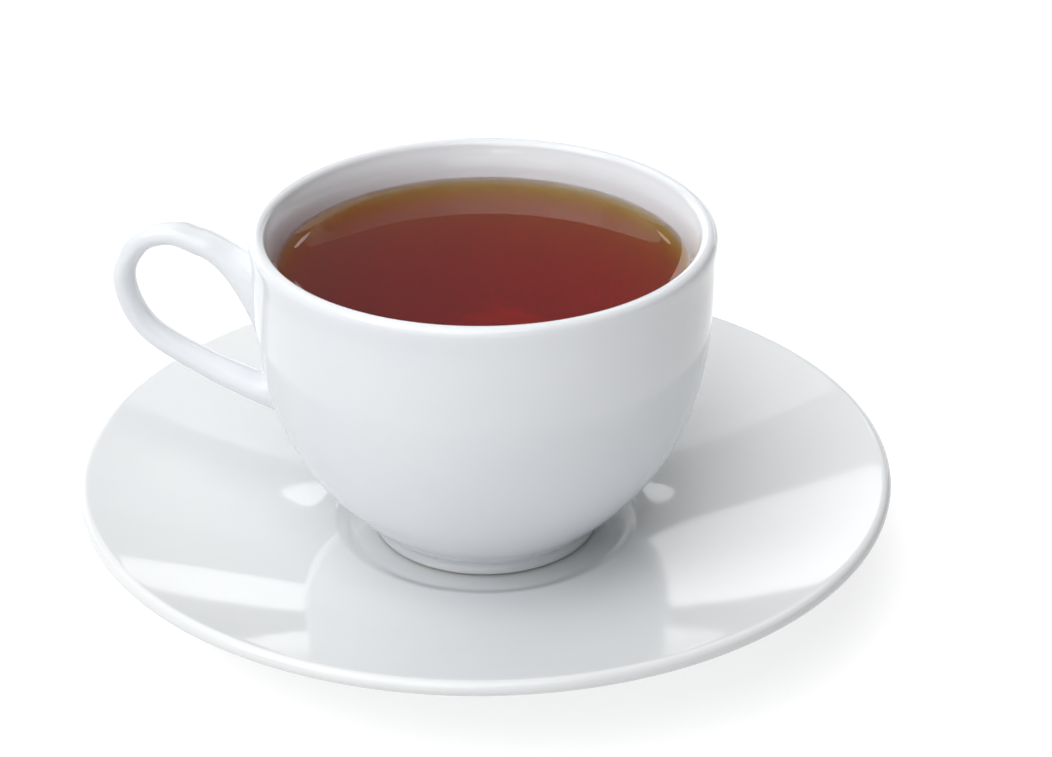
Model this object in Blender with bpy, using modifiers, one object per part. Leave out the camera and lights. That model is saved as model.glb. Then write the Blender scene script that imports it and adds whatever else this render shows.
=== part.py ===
# Porcelain teacup with an ear-shaped handle, filled with black tea, standing in its saucer.
# The axis of the turned pieces is Z, the saucer's foot stands on z = 0, and the handle points along -X.

import math

import bmesh
import bpy

# Sizes are in millimetres, and the scene is in metres.
MM = 0.001

# Gap between pieces that touch
CONTACT_GAP = 0.3

# Steps of the turned pieces round the axis, and of their profiles along each stretch
TURN_STEPS = 64
INNER_STEPS = 14
BODY_STEPS = 11
FLANK_STEPS = 7
UNDER_STEPS = 4
RIM_STEPS = 5
SMALL_STEPS = 2

# Saucer
SAUCER_RADIUS = 79.0
SAUCER_RIM_ROUND = 1.4
SAUCER_RIM_SPAN = 75.0
SAUCER_HEIGHT = 20.2
SAUCER_THICKNESS = 3.6
WELL_FLOOR = 6.0
WELL_RADIUS = 26.0
WELL_STEP_WIDTH = 4.5
WELL_STEP_RISE = 1.2
FLANK_POWER = 1.35
SAUCER_FOOT_RADIUS = 38.0
SAUCER_FOOT_WIDTH = 2.4
SAUCER_FOOT_ROUND = 0.6

# Cup, with heights above its own foot
CUP_HEIGHT = 63.4
LIP_RADIUS = 43.9
LIP_ROUND = 1.4
BODY_RADIUS = 43.6
BODY_TOP = 60.2
BOWL_DEPTH = 71.3
BOWL_POWER = 3.27
WALL = 4.8
LIP_TAPER = 2.0
CUP_FLOOR = 6.4
FLOOR_BLEND = 3.0
FLOOR_FLAT_RADIUS = 5.0
INNER_CROWDING = 1.4
CUP_FOOT_RADIUS = 22.0
CUP_FOOT_HEIGHT = 2.4
CUP_FOOT_EDGE = 1.8
CUP_FOOT_WIDTH = 2.2
CUP_FOOT_ROUND = 0.6
CUP_FOOT_RECESS = 2.0

# Tea, with its level above the cup's foot
TEA_LEVEL = 56.5

# Handle: a strap whose section is an ellipse, wider across than it is thick
STRAP_HALF_THICKNESS = 2.15
STRAP_WIDTH_RATIO = 1.5
STRAP_ALONG_STEPS = 5
STRAP_ROUND_STEPS = 4

# Points of the strap's middle line: distance from the axis, height above the foot, relative thickness
HANDLE_LINE = (
    (41.4, 45.6, 2.45),
    (45.0, 47.4, 2.15),
    (48.9, 52.8, 1.65),
    (53.4, 57.0, 1.20),
    (59.6, 59.0, 1.00),
    (66.4, 56.3, 1.00),
    (69.8, 48.7, 1.00),
    (66.0, 38.7, 1.00),
    (55.0, 31.4, 1.08),
    (44.2, 26.4, 1.25),
    (37.4, 23.3, 1.40),
)


def arc(centre, radius, start, end, steps):
    # Points (radius, height) on an arc, with its angles in degrees from the outward direction
    points = []
    for step in range(steps + 1):
        angle = math.radians(start + (end - start) * step / steps)
        points.append((centre[0] + radius * math.cos(angle), centre[1] + radius * math.sin(angle)))
    return points


def foot_ring(outer, inner, rounding):
    # Rounded outer and inner edge of a foot ring that stands on height 0
    ring = arc((outer - rounding, rounding), rounding, 0.0, -90.0, SMALL_STEPS)
    return ring + arc((inner + rounding, rounding), rounding, -90.0, -180.0, SMALL_STEPS)


def bowl_radius(height):
    # Outer radius of the cup's body at a height above its foot
    return BODY_RADIUS * (1.0 - ((BODY_TOP - height) / BOWL_DEPTH) ** BOWL_POWER)


def bowl_inset(height, inset, floor):
    # Point inside the body's outer curve, moved inwards along its normal and rounded onto the floor
    reach = (BODY_TOP - height) / BOWL_DEPTH
    slope = BODY_RADIUS * BOWL_POWER * reach ** (BOWL_POWER - 1.0) / BOWL_DEPTH
    length = math.hypot(1.0, slope)
    radius = bowl_radius(height) - inset / length
    raised = height + inset * slope / length
    over = raised - floor
    return radius, floor + (over + math.hypot(over, FLOOR_BLEND)) / 2.0


def wall_at(height):
    # Wall thickness, which grows from the lip's to the body's just below the lip
    lip_wall = 2.0 * LIP_ROUND
    return WALL - (WALL - lip_wall) * math.exp((height - BODY_TOP) / LIP_TAPER)


def inner_heights():
    # Heights on the outer curve whose inset points run from near the axis to the lip
    bottom = BODY_TOP - BOWL_DEPTH * (1.0 - WALL / BODY_RADIUS) ** (1.0 / BOWL_POWER)
    heights = []
    for step in range(1, INNER_STEPS + 1):
        share = 1.0 - (1.0 - step / INNER_STEPS) ** INNER_CROWDING
        height = bottom + (BODY_TOP - bottom) * share
        if bowl_inset(height, WALL, CUP_FLOOR)[0] > FLOOR_FLAT_RADIUS:
            heights.append(height)
    return heights


def inner_curve(gap):
    # Points up the inside of the bowl, a gap away from its surface
    return [bowl_inset(height, wall_at(height) + gap, CUP_FLOOR + gap) for height in inner_heights()]


def cup_profile():
    # Inside floor and wall, lip, outer body, foot ring and the recess under it
    lip_height = CUP_HEIGHT - LIP_ROUND
    inside = inner_curve(0.0)
    lip = arc((LIP_RADIUS - LIP_ROUND, lip_height), LIP_ROUND, 180.0, 0.0, RIM_STEPS)
    body = []
    for step in range(BODY_STEPS + 1):
        height = BODY_TOP + (CUP_FOOT_HEIGHT - BODY_TOP) * step / BODY_STEPS
        body.append((bowl_radius(height), height))
    foot_inner = CUP_FOOT_RADIUS - CUP_FOOT_WIDTH
    edge = [(CUP_FOOT_RADIUS, CUP_FOOT_EDGE)]
    foot = foot_ring(CUP_FOOT_RADIUS, foot_inner, CUP_FOOT_ROUND)
    recess = [(foot_inner - CUP_FOOT_ROUND, CUP_FOOT_RECESS), (0.0, CUP_FOOT_RECESS)]
    return [(0.0, inside[0][1])] + inside + lip + body + edge + foot + recess


def tea_profile():
    # Top surface, then down the side that follows the inside of the bowl
    side = [point for point in inner_curve(CONTACT_GAP) if point[1] < TEA_LEVEL - CONTACT_GAP]
    side.reverse()
    top_radius = bowl_inset(TEA_LEVEL, wall_at(TEA_LEVEL) + CONTACT_GAP, CUP_FLOOR)[0]
    return [(0.0, TEA_LEVEL), (top_radius, TEA_LEVEL)] + side + [(0.0, side[-1][1])]


def flank_height(radius):
    # Height of the saucer's upper surface between the well and the rim
    start = WELL_RADIUS + WELL_STEP_WIDTH
    end = SAUCER_RADIUS - SAUCER_RIM_ROUND
    low = WELL_FLOOR + WELL_STEP_RISE
    return low + (SAUCER_HEIGHT - low) * ((radius - start) / (end - start)) ** FLANK_POWER


def saucer_profile():
    # Well, step, flank, rounded rim, underside and foot ring
    well = []
    for step in range(SMALL_STEPS + 2):
        share = step / (SMALL_STEPS + 1)
        rise = WELL_STEP_RISE * (1.0 - math.cos(math.pi * share)) / 2.0
        well.append((WELL_RADIUS + WELL_STEP_WIDTH * share, WELL_FLOOR + rise))
    rim_centre = (SAUCER_RADIUS - SAUCER_RIM_ROUND, SAUCER_HEIGHT - SAUCER_RIM_ROUND)
    start = well[-1][0]
    end = rim_centre[0] - SAUCER_RIM_ROUND
    flank = []
    for step in range(1, FLANK_STEPS + 1):
        radius = start + (end - start) * step / FLANK_STEPS
        flank.append((radius, flank_height(radius)))
    rim = arc(rim_centre, SAUCER_RIM_ROUND, SAUCER_RIM_SPAN, -SAUCER_RIM_SPAN, RIM_STEPS)
    foot_join = SAUCER_FOOT_RADIUS + SAUCER_FOOT_ROUND
    under = []
    for step in range(1, UNDER_STEPS + 1):
        radius = end + (foot_join - end) * step / UNDER_STEPS
        under.append((radius, flank_height(radius) - SAUCER_THICKNESS))
    foot_inner = SAUCER_FOOT_RADIUS - SAUCER_FOOT_WIDTH
    foot = foot_ring(SAUCER_FOOT_RADIUS, foot_inner, SAUCER_FOOT_ROUND)
    underside = WELL_FLOOR - SAUCER_THICKNESS
    recess = [(foot_inner - SAUCER_FOOT_ROUND, underside), (0.0, underside)]
    return [(0.0, WELL_FLOOR)] + well + flank + rim + under + foot + recess


def make_material(name, colour, roughness):
    material = bpy.data.materials.new(name)
    material.use_nodes = True
    shader = material.node_tree.nodes["Principled BSDF"]
    shader.inputs["Base Color"].default_value = (*colour, 1.0)
    shader.inputs["Roughness"].default_value = roughness
    shader.inputs["Metallic"].default_value = 0.0
    material.diffuse_color = (*colour, 1.0)
    return material


def turned_object(name, profile, material, collection, base_height):
    # A profile on the +X side, turned about Z by a Screw modifier
    mesh = bpy.data.meshes.new(name)
    vertices = [(radius * MM, 0.0, height * MM) for radius, height in profile]
    edges = [(index, index + 1) for index in range(len(vertices) - 1)]
    mesh.from_pydata(vertices, edges, [])
    mesh.materials.append(material)
    turned = bpy.data.objects.new(name, mesh)
    turned.location = (0.0, 0.0, base_height * MM)
    collection.objects.link(turned)
    screw = turned.modifiers.new("Turn", "SCREW")
    screw.axis = "Z"
    screw.steps = TURN_STEPS
    screw.render_steps = TURN_STEPS
    screw.use_merge_vertices = True
    screw.merge_threshold = 0.00001
    screw.use_smooth_shade = True
    return turned


def handle_mesh(collection, base_height):
    # The strap is a bevelled curve in the XZ plane, widened across that plane and made a mesh
    curve = bpy.data.curves.new("handle_line", "CURVE")
    curve.dimensions = "3D"
    curve.twist_mode = "Z_UP"
    curve.resolution_u = STRAP_ALONG_STEPS
    curve.bevel_depth = STRAP_HALF_THICKNESS * MM
    curve.bevel_resolution = STRAP_ROUND_STEPS
    curve.use_fill_caps = True
    spline = curve.splines.new("BEZIER")
    spline.bezier_points.add(len(HANDLE_LINE) - 1)
    for point, (reach, height, thickness) in zip(spline.bezier_points, HANDLE_LINE):
        point.co = (-reach * MM, height * MM, 0.0)
        point.radius = thickness
        point.handle_left_type = "AUTO"
        point.handle_right_type = "AUTO"
    line = bpy.data.objects.new("handle_line", curve)
    line.rotation_euler = (math.pi / 2.0, 0.0, 0.0)
    line.scale = (1.0, 1.0, STRAP_WIDTH_RATIO)
    line.location = (0.0, 0.0, base_height * MM)
    collection.objects.link(line)
    bpy.context.view_layer.update()
    evaluated = line.evaluated_get(bpy.context.evaluated_depsgraph_get())
    mesh = bpy.data.meshes.new_from_object(evaluated)
    mesh.name = "handle_strap"
    strap = bpy.data.objects.new("handle_strap", mesh)
    strap.matrix_world = line.matrix_world.copy()
    collection.objects.link(strap)
    weld_caps(mesh)
    bpy.data.objects.remove(line, do_unlink=True)
    return strap


def weld_caps(mesh):
    # The caps of a bevelled curve are loose, so their edges are welded to the tube
    cage = bmesh.new()
    cage.from_mesh(mesh)
    bmesh.ops.remove_doubles(cage, verts=cage.verts, dist=0.000001)
    bmesh.ops.recalc_face_normals(cage, faces=cage.faces)
    cage.to_mesh(mesh)
    cage.free()


def main():
    for old in list(bpy.data.objects):
        bpy.data.objects.remove(old, do_unlink=True)

    parts = bpy.data.collections.new("teacup_on_saucer")
    helpers = bpy.data.collections.new("helpers")
    bpy.context.scene.collection.children.link(parts)
    bpy.context.scene.collection.children.link(helpers)

    cup_glaze = make_material("cup_porcelain", (0.84, 0.85, 0.86), 0.08)
    saucer_glaze = make_material("saucer_porcelain", (0.82, 0.84, 0.84), 0.08)
    tea_colour = make_material("black_tea", (0.14, 0.03, 0.015), 0.03)

    cup_base = WELL_FLOOR + CONTACT_GAP
    turned_object("saucer", saucer_profile(), saucer_glaze, parts, 0.0)
    turned_object("tea", tea_profile(), tea_colour, parts, cup_base)
    cup = turned_object("cup", cup_profile(), cup_glaze, parts, cup_base)

    strap = handle_mesh(helpers, cup_base)
    strap.hide_render = True
    strap.display_type = "WIRE"
    join = cup.modifiers.new("Handle", "BOOLEAN")
    join.operation = "UNION"
    join.solver = "EXACT"
    join.object = strap


main()
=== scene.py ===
# A cup of black tea on its saucer: glazed porcelain, clear tea, a white table and soft studio light.
# The pieces are drawn in millimetres round the axis of the cup, with the handle along -X.

import math

import bmesh
import bpy
from mathutils import Matrix, Vector


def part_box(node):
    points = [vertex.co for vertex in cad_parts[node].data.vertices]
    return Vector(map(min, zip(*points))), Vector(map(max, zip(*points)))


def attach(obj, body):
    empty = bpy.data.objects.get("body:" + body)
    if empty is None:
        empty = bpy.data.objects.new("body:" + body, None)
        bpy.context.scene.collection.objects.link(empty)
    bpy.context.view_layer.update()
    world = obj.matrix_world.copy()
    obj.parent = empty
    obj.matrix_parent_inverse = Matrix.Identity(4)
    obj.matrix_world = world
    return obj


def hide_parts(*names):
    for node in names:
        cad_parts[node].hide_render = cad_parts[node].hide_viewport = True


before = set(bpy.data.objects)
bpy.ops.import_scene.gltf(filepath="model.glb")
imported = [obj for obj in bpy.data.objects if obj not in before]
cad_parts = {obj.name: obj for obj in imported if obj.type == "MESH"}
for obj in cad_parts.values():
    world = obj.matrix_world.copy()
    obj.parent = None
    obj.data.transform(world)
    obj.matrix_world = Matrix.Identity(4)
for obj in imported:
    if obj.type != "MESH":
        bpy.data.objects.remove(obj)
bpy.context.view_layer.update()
mm = 0.001
print("frame:", ", ".join(sorted(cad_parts)))


def nodeBox(name):
    # Lowest and highest corner of a node, in millimetres
    low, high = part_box(name)
    return [value / mm for value in low], [value / mm for value in high]


cupLow, cupHigh = nodeBox("cup")
teaHigh = nodeBox("tea")[1]
saucerLow, saucerHigh = nodeBox("saucer")


# Shader building

class Wire:
    # A socket that takes part in sums and products
    def __init__(self, paint, plug):
        self.paint = paint
        self.plug = plug

    def calc(self, operation, first, second):
        return self.paint.add("ShaderNodeMath", {"operation": operation}, {0: first, 1: second})

    def __add__(self, other):
        return self.calc("ADD", self, other)

    def __radd__(self, other):
        return self.calc("ADD", other, self)

    def __sub__(self, other):
        return self.calc("SUBTRACT", self, other)

    def __rsub__(self, other):
        return self.calc("SUBTRACT", other, self)

    def __mul__(self, other):
        return self.calc("MULTIPLY", self, other)

    def __rmul__(self, other):
        return self.calc("MULTIPLY", other, self)

    def __truediv__(self, other):
        return self.calc("DIVIDE", self, other)

    def __rtruediv__(self, other):
        return self.calc("DIVIDE", other, self)


class Paint:
    # The node tree of one material, or of the air
    def __init__(self, block):
        self.block = block
        block.use_nodes = True
        self.tree = block.node_tree
        self.tree.nodes.clear()

    def add(self, kind, settings=None, sockets=None, output=0):
        node = self.tree.nodes.new(kind)
        for key, value in (settings or {}).items():
            setattr(node, key, value)
        for key, value in (sockets or {}).items():
            if isinstance(value, Wire):
                self.tree.links.new(value.plug, node.inputs[key])
            else:
                node.inputs[key].default_value = value
        return Wire(self, node.outputs[output])

    def place(self):
        # Position on the piece, in metres
        return self.add("ShaderNodeTexCoord", output="Object")

    def axis(self, position, letter):
        return self.add("ShaderNodeSeparateXYZ", sockets={0: position}, output=letter)

    def noise(self, position, size, detail, roughness=0.5):
        # Soft noise whose features are about size millimetres across
        values = {"Vector": position, "Scale": 1.0 / (size * mm), "Detail": detail, "Roughness": roughness}
        return self.add("ShaderNodeTexNoise", sockets=values)

    def remap(self, value, low, high, fromValue=0.0, toValue=1.0, smooth=True):
        settings = {"interpolation_type": "SMOOTHSTEP" if smooth else "LINEAR"}
        return self.add("ShaderNodeMapRange", settings, {0: value, 1: low, 2: high, 3: fromValue, 4: toValue})

    def blend(self, factor, first, second):
        # Colour that runs from first to second
        return self.add("ShaderNodeMix", {"data_type": "RGBA"}, {0: factor, 6: first, 7: second}, output=2)

    def bump(self, height, depth, normal=None):
        # Relief of a depth in millimetres, on top of another one if it is given
        values = {"Height": height, "Distance": depth * mm, "Strength": 1.0}
        if normal:
            values["Normal"] = normal
        return self.add("ShaderNodeBump", sockets=values)

    def finish(self, sockets, volume=None):
        ends = {"Surface": self.add("ShaderNodeBsdfPrincipled", sockets=sockets)}
        if volume:
            ends["Volume"] = volume
        self.end("ShaderNodeOutputMaterial", ends)
        return self.block

    def end(self, kind, ends):
        output = self.tree.nodes.new(kind)
        for key, value in ends.items():
            self.tree.links.new(value.plug, output.inputs[key])


def grey(value):
    return (value, value, value, 1.0)


# Curves in the plane of a profile

def smoothStep(share):
    share = min(max(share, 0.0), 1.0)
    return share * share * (3.0 - 2.0 * share)


def arcPoints(centre, radius, start, end, steps):
    # Arc of (radius, height) points, its angles in degrees from the outward direction
    angles = [math.radians(start + (end - start) * step / steps) for step in range(steps + 1)]
    return [(centre[0] + radius * math.cos(angle), centre[1] + radius * math.sin(angle)) for angle in angles]


def bezier(control, steps):
    # Cubic curve through the first and last of four points
    curve = []
    for step in range(steps + 1):
        t = step / steps
        weights = ((1 - t) ** 3, 3 * t * (1 - t) ** 2, 3 * t * t * (1 - t), t ** 3)
        curve.append(tuple(sum(weight * point[axis] for weight, point in zip(weights, control))
                           for axis in range(len(control[0]))))
    return curve


def footAndRecess(piece, base, under):
    # From a foot ring's outer side round its lower edges, and over the recess inside it to the axis
    edge = piece["footRound"]
    corner = piece["recessRound"]
    outside = piece["footRadius"]
    inside = outside - piece["footWidth"]
    ring = arcPoints((outside - edge, base + edge), edge, 0.0, -90.0, piece["footSteps"])
    ring += arcPoints((inside + edge, base + edge), edge, -90.0, -180.0, piece["footSteps"])
    recess = arcPoints((inside - corner, under - corner), corner, 0.0, 90.0, piece["recessSteps"])
    return ring + recess + [(inside * 0.5, under), (0.0, under)]


# Mesh building

def addObject(name, data):
    thing = bpy.data.objects.new(name, data)
    bpy.context.scene.collection.objects.link(thing)
    return thing


def addMesh(name, cage, material):
    mesh = bpy.data.meshes.new(name)
    cage.to_mesh(mesh)
    cage.free()
    mesh.materials.append(material)
    return addObject(name, mesh)


def makePiece(name, cage, material, node):
    # A smooth piece that stands for one of the model's nodes
    bmesh.ops.recalc_face_normals(cage, faces=cage.faces)
    for face in cage.faces:
        face.smooth = True
    piece = addMesh(name, cage, material)
    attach(piece, "root")
    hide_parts(node)
    return piece


def turn(cage, profile, steps):
    # Turns a profile, whose two ends are on the axis, round Z
    circle = [(math.cos(math.tau * step / steps), math.sin(math.tau * step / steps)) for step in range(steps)]
    rows = []
    for radius, height in profile:
        spots = circle if radius > 0.0 else circle[:1]
        rows.append([cage.verts.new((radius * x * mm, radius * y * mm, height * mm)) for x, y in spots])
    for low, high in zip(rows, rows[1:]):
        for index in range(steps):
            after = index + 1
            corners = (low[index % len(low)], low[after % len(low)],
                       high[after % len(high)], high[index % len(high)])
            cage.faces.new(list(dict.fromkeys(corners)))


def loft(cage, rings):
    # Skins closed rings of points and caps the two ends
    rows = [[cage.verts.new(Vector(point) * mm) for point in ring] for ring in rings]
    count = len(rows[0])
    for low, high in zip(rows, rows[1:]):
        for index in range(count):
            after = (index + 1) % count
            cage.faces.new((low[index], low[after], high[after], high[index]))
    for row in (rows[0], rows[-1]):
        centre = cage.verts.new(sum((vert.co for vert in row), Vector()) / count)
        for index in range(count):
            cage.faces.new((row[index], row[(index + 1) % count], centre))


# Cup: the body is a power curve that comes in to the foot, and its wall is thinner just under the lip

cup = {
    "lipRadius": cupHigh[0],
    "lipRound": 1.6,
    "lipTilt": 24.0,  # degrees that the inner wall leans where it leaves the lip
    "lipGap": 0.3,  # from the lip's last point down to the inner wall's first one
    "lipSteps": 24,
    "lipFlare": 0.3,
    "flareDepth": 4.5,
    "curveTop": 66.5,
    "curveDepth": 71.3,
    "curvePower": 3.27,
    "bodySteps": 56,
    "wall": 4.8,
    "floor": 12.7,
    "floorBlend": 3.0,
    "floorMiddle": 2.0,  # radius inside which the floor runs straight to the axis
    "innerSteps": 96,
    "innerCrowding": 1.05,
    "neckRadius": 21.2,
    "neckHeight": 2.2,
    "neckBlend": 1.0,
    "neckLead": 0.9,
    "neckSteps": 10,
    "foot": cupLow[2],
    "footTop": 1.2,
    "footRadius": 22.0,
    "footWidth": 2.2,
    "footRound": 0.55,
    "footSteps": 6,
    "recess": 2.0,
    "recessRound": 0.8,
    "recessSteps": 6,
    "turnSteps": 208,
    "tint": (0.815, 0.835, 0.86, 1.0),
}

# The inner wall leaves the lip's round at a tilt, and is at its full thickness lipDepth further down
lipTilt = math.radians(cup["lipTilt"])
lipCentre = cupHigh[2] - cup["lipRound"]
lipStart = lipCentre + cup["lipRound"] * math.sin(lipTilt)
lipWall = cup["lipRound"] * (1.0 + math.cos(lipTilt))
lipDepth = 2.0 * (cup["wall"] - lipWall) / math.tan(lipTilt)


def cupOuter(height):
    # Outer radius of the body at a height
    reach = max(cup["curveTop"] - height, 0.0) / cup["curveDepth"]
    body = (cup["lipRadius"] - cup["lipFlare"]) * (1.0 - reach ** cup["curvePower"])
    return body + cup["lipFlare"] * smoothStep((height - lipCentre) / cup["flareDepth"] + 1.0)


def cupInner(height, extra=0.0):
    # Point of the inner wall that lies across from an outer point, moved outwards by extra
    step = 0.01
    slope = (cupOuter(height + step) - cupOuter(height - step)) / (2.0 * step)
    length = math.hypot(1.0, slope)
    below = min(max((lipStart - height) / lipDepth, 0.0), 1.0)
    wall = lipWall + (cup["wall"] - lipWall) * below * (2.0 - below) - extra
    over = height + wall * slope / length - cup["floor"] + extra
    rounded = cup["floor"] - extra + (over + math.hypot(over, cup["floorBlend"])) / 2.0
    return cupOuter(height) - wall / length, rounded


def cupInnerLine(top, extra=0.0):
    # Inner wall from the axis up to a height, with its last point right at that height
    points = []
    above = None
    for step in range(cup["innerSteps"] + 1):
        down = (step / cup["innerSteps"]) ** cup["innerCrowding"]
        point = cupInner(lipStart - (lipStart - cup["foot"]) * down, extra)
        if point[0] < cup["floorMiddle"]:
            break
        if point[1] > top:
            above = point
            continue
        if above and not points:
            share = (top - point[1]) / (above[1] - point[1])
            points.append((point[0] + (above[0] - point[0]) * share, top))
        points.append(point)
    points.append((0.0, points[-1][1]))
    points.reverse()
    return points


def cupProfile():
    inner = cupInnerLine(lipStart - cup["lipGap"])
    lip = arcPoints((cup["lipRadius"] - cup["lipRound"], lipCentre), cup["lipRound"],
                    180.0 - cup["lipTilt"], 0.0, cup["lipSteps"])
    neck = cup["foot"] + cup["neckHeight"]
    low = neck + cup["neckBlend"]
    outer = []
    for step in range(1, cup["bodySteps"] + 1):
        height = lipCentre + (low - lipCentre) * step / cup["bodySteps"]
        outer.append((cupOuter(height), height))
    before, start = outer[-2:]
    lead = (start[0] - before[0], start[1] - before[1])
    scale = cup["neckLead"] / math.hypot(*lead)
    bend = (start[0] + lead[0] * scale, start[1] + lead[1] * scale)
    end = (cup["footRadius"], cup["foot"] + cup["footTop"])
    neckLine = bezier([start, bend, (cup["neckRadius"], neck), end], cup["neckSteps"])[1:]
    return inner + lip + outer + neckLine + footAndRecess(cup, cup["foot"], cup["foot"] + cup["recess"])


# Handle: a strap with an oval section, whose two ends run out onto the body

handle = {
    "line": ((53.8, 63.2), (60.2, 65.0), (66.4, 62.6), (69.8, 55.0), (66.0, 45.0), (55.0, 37.7), (46.6, 33.7)),
    "thickness": (1.14, 1.04, 1.0, 1.0, 1.0, 1.08, 1.2),
    "halfThick": 2.15,
    "halfWide": 3.2,
    "aroundSteps": 56,
    "alongSteps": 14,
    "rootSteps": 26,
    "probeScale": 1.01,  # outline a little larger than the root's, which shows the way outwards
    "skirtScale": 1.03,  # outline where the root slips under the glaze
    "skirtDepth": 0.12,
    "sunkDepth": 1.6,
    "upperRoot": {"middle": 49.6, "halfHigh": 12.3, "halfWide": 6.0, "leave": (4.5, 7.5), "land": 2.2},
    "lowerRoot": {"middle": 31.3, "halfHigh": 5.9, "halfWide": 5.2, "leave": (2.0, 2.0), "land": 1.6},
}


def onBody(root, angle, scale=1.0, depth=0.0):
    # Point of the cup's body on a root's outline, which is an oval on the -X side
    height = root["middle"] + root["halfHigh"] * math.cos(angle) * scale
    across = root["halfWide"] * math.sin(angle) * scale
    radius = cupOuter(height) - depth
    return Vector((-math.sqrt(radius * radius - across * across), across, height))


def beyond(first, second):
    # The point that lies as far before first as second lies after it
    return tuple(2 * a - b for a, b in zip(first, second))


def strapLine():
    # Smooth middle line through the handle's points, with the thickness at each point
    points = [(*place, thick) for place, thick in zip(handle["line"], handle["thickness"])]
    line = points[:1]
    points = [beyond(points[0], points[1])] + points + [beyond(points[-1], points[-2])]
    # A lead is a sixth of the step between a point's two neighbours, which keeps the curve smooth there
    for before, first, second, after in zip(points, points[1:], points[2:], points[3:]):
        leadOut = tuple(a + (b - c) / 6.0 for a, b, c in zip(first, second, before))
        leadIn = tuple(a - (b - c) / 6.0 for a, b, c in zip(second, after, first))
        line += bezier([first, leadOut, leadIn, second], handle["alongSteps"])[1:]
    return line


def strapRings():
    line = strapLine()
    rings = []
    for index, (reach, height, thick) in enumerate(line):
        before = line[max(index - 1, 0)]
        after = line[min(index + 1, len(line) - 1)]
        along = Vector((before[0] - after[0], 0.0, after[1] - before[1])).normalized()
        outward = Vector((along.z, 0.0, -along.x))
        ring = []
        for step in range(handle["aroundSteps"]):
            angle = math.tau * step / handle["aroundSteps"]
            offset = outward * handle["halfThick"] * thick * math.cos(angle)
            offset += Vector((0.0, handle["halfWide"] * thick * math.sin(angle), 0.0))
            ring.append(Vector((-reach, 0.0, height)) + offset)
        rings.append(ring)
    return rings


def rootRings(root, last, before, upside):
    # Rings from the strap's last ring out onto the body, and on to a sunk end
    curves = []
    for step, point in enumerate(last):
        angle = math.tau * step / len(last)
        share = (1.0 + math.cos(angle)) / 2.0
        leave = root["leave"][1] + (root["leave"][0] - root["leave"][1]) * share
        side = angle if upside else math.pi - angle
        target = onBody(root, side)
        outward = (onBody(root, side, handle["probeScale"]) - target).normalized()
        heading = (point - before[step]).normalized()
        control = [point, point + heading * leave, target - outward * root["land"], target]
        curve = [Vector(spot) for spot in bezier(control, handle["rootSteps"])]
        curve.append(onBody(root, side, handle["skirtScale"], handle["skirtDepth"]))
        curve.append(onBody(root, side, 1.0, handle["sunkDepth"]))
        curves.append(curve)
    return list(zip(*curves))[1:]


def buildCup(material):
    cage = bmesh.new()
    turn(cage, cupProfile(), cup["turnSteps"])
    rings = strapRings()
    upper = rootRings(handle["upperRoot"], rings[0], rings[1], True)
    lower = rootRings(handle["lowerRoot"], rings[-1], rings[-2], False)
    loft(cage, upper[::-1] + rings + lower)
    return makePiece("cupPorcelain", cage, material, "cup")


# Saucer: a flat well with a small step round it, a flank that rises to a rounded rim, and a foot ring

saucer = {
    "radius": -saucerLow[0],
    "rim": 1.4,
    "rimSteps": 28,
    "wellFloor": 6.0,
    "wellRadius": 26.0,
    "stepWidth": 4.5,
    "stepRise": 1.2,
    "stepSteps": 12,
    "flankPower": 1.35,
    "flankSteps": 40,
    "thickness": 3.6,
    "thickening": 14.0,  # from the rim inwards to where the flank has its full thickness
    "coveSize": 1.6,
    "coveOut": 0.4,
    "coveDrop": 0.2,
    "coveRise": 0.6,
    "coveSteps": 8,
    "footRadius": 38.0,
    "footWidth": 2.4,
    "footRound": 0.6,
    "footSteps": 6,
    "recessRound": 1.0,
    "recessSteps": 8,
    "turnSteps": 240,
    "tint": (0.815, 0.83, 0.835, 1.0),
}
flankStart = (saucer["wellRadius"] + saucer["stepWidth"], saucer["wellFloor"] + saucer["stepRise"])


def saucerFlank(radius, end):
    # Height of the upper side between the well's step and the rim
    share = max(radius - flankStart[0], 0.0) / (end[0] - flankStart[0])
    return flankStart[1] + (end[1] - flankStart[1]) * share ** saucer["flankPower"]


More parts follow.
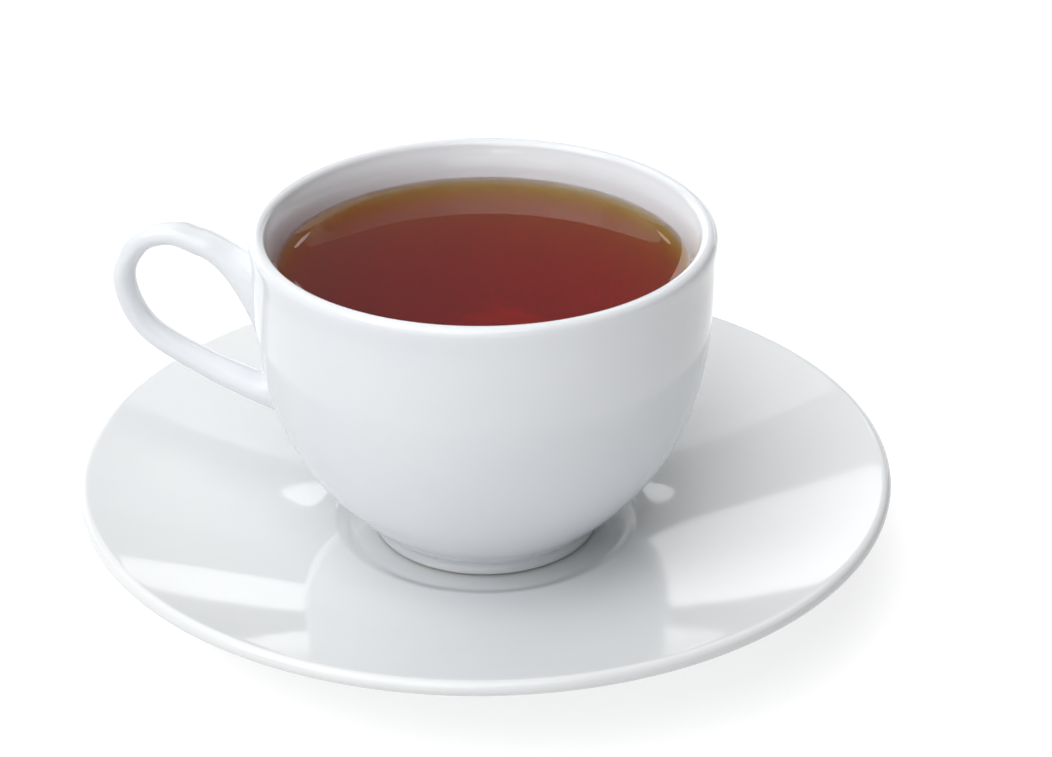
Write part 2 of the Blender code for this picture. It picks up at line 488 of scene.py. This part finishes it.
def saucerProfile():
    rim = saucer["rim"]
    centre = (saucer["radius"] - rim, saucerHigh[2] - rim)
    slope = (centre[1] + rim - flankStart[1]) * saucer["flankPower"] / (centre[0] - flankStart[0])
    tilt = math.atan(slope)
    end = (centre[0] - rim * math.sin(tilt), centre[1] + rim * math.cos(tilt))
    well = [(0.0, saucer["wellFloor"]), (saucer["wellRadius"] * 0.5, saucer["wellFloor"])]
    for step in range(saucer["stepSteps"] + 1):
        share = step / saucer["stepSteps"]
        well.append((saucer["wellRadius"] + saucer["stepWidth"] * share,
                     saucer["wellFloor"] + saucer["stepRise"] * smoothStep(share)))
    flank = []
    for step in range(1, saucer["flankSteps"]):
        radius = flankStart[0] + (end[0] - flankStart[0]) * step / saucer["flankSteps"]
        flank.append((radius, saucerFlank(radius, end)))
    lean = math.degrees(tilt)
    rimLine = arcPoints(centre, rim, 90.0 + lean, lean - 90.0, saucer["rimSteps"])
    rimEnd = rimLine[-1][0]
    rimThick = 2.0 * rim * math.hypot(1.0, slope)
    footJoin = saucer["footRadius"] + saucer["coveSize"]
    under = []
    for step in range(1, saucer["flankSteps"] + 1):
        radius = rimEnd + (footJoin - rimEnd) * step / saucer["flankSteps"]
        inward = smoothStep((rimEnd - radius) / saucer["thickening"])
        thick = rimThick * (1.0 - inward) + saucer["thickness"] * inward
        under.append((radius, saucerFlank(radius, end) - thick))
    coveTop = under[-1]
    coveEnd = (saucer["footRadius"], coveTop[1] - saucer["coveSize"])
    cove = bezier([
        coveTop,
        (saucer["footRadius"] + saucer["coveOut"], coveTop[1] - saucer["coveDrop"]),
        (saucer["footRadius"], coveEnd[1] + saucer["coveRise"]),
        coveEnd,
    ], saucer["coveSteps"])[1:]
    foot = footAndRecess(saucer, 0.0, saucer["wellFloor"] - saucer["thickness"])
    return well + flank + rimLine + under + cove + foot


def buildSaucer(material):
    cage = bmesh.new()
    turn(cage, saucerProfile(), saucer["turnSteps"])
    return makePiece("saucerPorcelain", cage, material, "saucer")


# Tea: it reaches just into the cup's wall, and its surface climbs a little where it meets it

tea = {
    "climb": 1.4,
    "reach": 1.9,
    "edgeWidth": 16.0,
    "edgeSteps": 40,
    "middleRing": 0.35,
    "intoWall": 0.15,
    "turnSteps": 208,
    "tint": (0.976, 0.857, 0.2, 1.0),
    "density": 350.0,
}


def buildTea(material):
    body = cupInnerLine(teaHigh[2], tea["intoWall"])
    edge = body[-1]
    level = teaHigh[2] - tea["climb"]
    surface = []
    for step in range(1, tea["edgeSteps"] + 1):
        distance = tea["edgeWidth"] * (step / tea["edgeSteps"]) ** 2
        rise = (edge[1] - level) * math.exp(-distance / tea["reach"])
        surface.append((edge[0] - distance, level + rise))
    surface += [(edge[0] * tea["middleRing"], level), (0.0, level)]
    cage = bmesh.new()
    turn(cage, body + surface, tea["turnSteps"])
    return makePiece("blackTea", cage, material, "tea")


# Finishes; a noise is given by its size in millimetres, its detail and its roughness

porcelain = {
    "cloud": (38.0, 3.0),
    "tintFade": (0.35, 0.65),
    "tintShade": (0.975, 0.975, 0.985, 1.0),
    "glossFade": (0.3, 0.7),
    "gloss": (0.045, 0.075),
    "flow": (9.0, 2.0),
    "flowDepth": 0.015,
    "bareHeight": 0.15,
    "bareFade": 0.25,
    "grain": (0.4, 4.0, 0.7),
    "grainDepth": 0.03,
    "clayDark": (0.62, 0.59, 0.53, 1.0),
    "clayLight": (0.74, 0.71, 0.66, 1.0),
    "clayRoughness": 0.62,
}


def porcelainFinish(name, foot, tint):
    # Cloudy glaze with a faint ripple, and bare clay where the foot ring stands
    paint = Paint(bpy.data.materials.new(name))
    position = paint.place()
    height = paint.axis(position, "Z") / mm
    cloud = paint.noise(position, *porcelain["cloud"])
    shaded = [value * shade for value, shade in zip(tint, porcelain["tintShade"])]
    glaze = paint.blend(paint.remap(cloud, *porcelain["tintFade"]), tint, shaded)
    bareTop = foot + porcelain["bareHeight"]
    bare = paint.remap(height, bareTop, bareTop + porcelain["bareFade"], 1.0, 0.0)
    grain = paint.noise(position, *porcelain["grain"])
    clay = paint.blend(grain, porcelain["clayDark"], porcelain["clayLight"])
    gloss = paint.remap(cloud, *porcelain["glossFade"], *porcelain["gloss"])
    ripple = paint.bump(paint.noise(position, *porcelain["flow"]), porcelain["flowDepth"])
    return paint.finish({
        "Base Color": paint.blend(bare, glaze, clay),
        "Roughness": gloss * (1.0 - bare) + porcelain["clayRoughness"] * bare,
        "Normal": paint.bump(grain * bare, porcelain["grainDepth"], ripple),
        "IOR": 1.52,
        "Metallic": 0.0,
    })


def teaFinish():
    # Clear liquid that takes its colour from its depth
    paint = Paint(bpy.data.materials.new("blackTea"))
    absorb = paint.add("ShaderNodeVolumeAbsorption", sockets={"Color": tea["tint"], "Density": tea["density"]})
    return paint.finish({
        "Base Color": grey(1.0),
        "Roughness": 0.0,
        "Transmission Weight": 1.0,
        "IOR": 1.333,
    }, absorb)


cupPiece = buildCup(porcelainFinish("cupGlaze", cup["foot"], cup["tint"]))
print("cup built")
saucerPiece = buildSaucer(porcelainFinish("saucerGlaze", 0.0, saucer["tint"]))
print("saucer built")
teaPiece = buildTea(teaFinish())
print("tea poured")


# Table: it looks white to the camera and in mirror images, and lights the pieces only faintly

table = {
    "size": 2.0,
    "cells": 8,
    "cloud": (60.0, 3.0),
    "tints": (0.50, 0.51),
    "seen": 0.68,
    "glow": 0.22,
}


def buildTable():
    paint = Paint(bpy.data.materials.new("tableTop"))
    shade = paint.noise(paint.place(), *table["cloud"])
    lighting = paint.add("ShaderNodeLightPath", output="Is Diffuse Ray")
    material = paint.finish({
        "Base Color": paint.blend(shade, *(grey(tint) for tint in table["tints"])),
        "Roughness": 0.85,
        "Specular IOR Level": 0.1,
        "Emission Color": paint.blend(lighting, grey(table["seen"]), grey(table["glow"])),
        "Emission Strength": 1.0,
    })
    cage = bmesh.new()
    bmesh.ops.create_grid(cage, x_segments=table["cells"], y_segments=table["cells"], size=table["size"])
    addMesh("tableTop", cage, material)


# Camera: it looks down at the cup, with the handle a little behind the cup's left side

shot = {
    "place": (61.689, -438.940, 271.219),
    "handleTurn": 8.0,
    "pitch": 27.834,
    "yaw": 1.03,
    "roll": -0.144,
    "focalPixels": 2598.0,
    "width": 1052.0,
    "sensor": 36.0,
    "clipStart": 0.01,
    "clipEnd": 50.0,
}


def buildCamera():
    data = bpy.data.cameras.new("photoView")
    data.sensor_fit = "HORIZONTAL"
    data.sensor_width = shot["sensor"]
    data.lens = shot["focalPixels"] * shot["sensor"] / shot["width"]
    data.clip_start = shot["clipStart"]
    data.clip_end = shot["clipEnd"]
    camera = addObject("photoView", data)
    aim = Matrix.Rotation(math.radians(shot["handleTurn"] - shot["yaw"]), 4, "Z")
    aim = aim @ Matrix.Rotation(math.radians(90.0 - shot["pitch"]), 4, "X")
    aim = aim @ Matrix.Rotation(math.radians(shot["roll"]), 4, "Z")
    camera.matrix_world = Matrix.Translation(Vector(shot["place"]) * mm) @ aim
    bpy.context.scene.camera = camera


# Studio light: panels that aim at the cup, each turned so many degrees from straight behind it, to the
# right as the camera sees it, and raised above the table; the air adds faint light, more on the left

studio = {
    "aim": (0.0, 0.0, 40.0),
    "far": 1200.0,
    "panels": (
        {"name": "keyPanel", "round": -140.0, "high": 62.0, "size": (1400.0, 1100.0), "glow": 2.0},
        {"name": "keyLowPanel", "round": -140.0, "high": 44.0, "size": (1200.0, 400.0), "glow": 1.15},
        {"name": "frontLowPanel", "round": -168.0, "high": 16.0, "size": (1500.0, 550.0), "glow": 0.95},
        {"name": "topPanel", "round": -60.0, "high": 84.0, "size": (900.0, 900.0), "glow": 0.75},
        {"name": "leftPanel", "round": -70.0, "high": 56.0, "size": (900.0, 700.0), "glow": 0.6},
        {"name": "backHighPanel", "round": -5.0, "high": 52.0, "size": (1300.0, 560.0), "glow": 1.0},
        {"name": "backPanel", "round": 0.0, "high": 30.0, "size": (1500.0, 420.0), "glow": 0.13},
        {"name": "backLeftPanel", "round": -24.0, "high": 13.2, "size": (1000.0, 560.0), "glow": 1.65},
        {"name": "backRightPanel", "round": 20.0, "high": 6.5, "size": (800.0, 270.0), "glow": 1.3},
        {"name": "leftLamp", "round": -4.7, "high": 32.0, "size": (80.0, 80.0), "glow": 2.0, "disc": True},
        {"name": "rightLamp", "round": 5.7, "high": 32.2, "size": (90.0, 90.0), "glow": 2.0, "disc": True},
    ),
    "airLeft": 0.40,
    "airRight": 0.0,
}


def buildLight():
    for panel in studio["panels"]:
        data = bpy.data.lights.new(panel["name"], "AREA")
        data.shape = "ELLIPSE" if panel.get("disc") else "RECTANGLE"
        data.size, data.size_y = (side * mm for side in panel["size"])
        data.energy = panel["glow"] * math.pi * data.size * data.size_y
        lamp = addObject(panel["name"], data)
        around = math.radians(90.0 + shot["handleTurn"] - panel["round"])
        high = math.radians(panel["high"])
        away = Vector((math.cos(around) * math.cos(high), math.sin(around) * math.cos(high), math.sin(high)))
        lamp.location = (Vector(studio["aim"]) + away * studio["far"]) * mm
        lamp.rotation_euler = away.to_track_quat("Z", "Y").to_euler()


def buildAir():
    # The camera itself sees plain white
    air = bpy.data.worlds.new("studioAir")
    paint = Paint(air)
    side = paint.axis(paint.add("ShaderNodeTexCoord", output="Generated"), "X")
    seen = paint.add("ShaderNodeLightPath", output="Is Camera Ray")
    strength = paint.remap(side, -1.0, 1.0, studio["airLeft"], studio["airRight"], smooth=False)
    white = {"Color": grey(1.0), "Strength": strength * (1 - seen) + seen}
    paint.end("ShaderNodeOutputWorld", {"Surface": paint.add("ShaderNodeBackground", sockets=white)})
    bpy.context.scene.world = air


buildTable()
buildCamera()
buildLight()
buildAir()
bpy.context.scene.view_settings.view_transform = "Standard"
print("table, camera and light set")
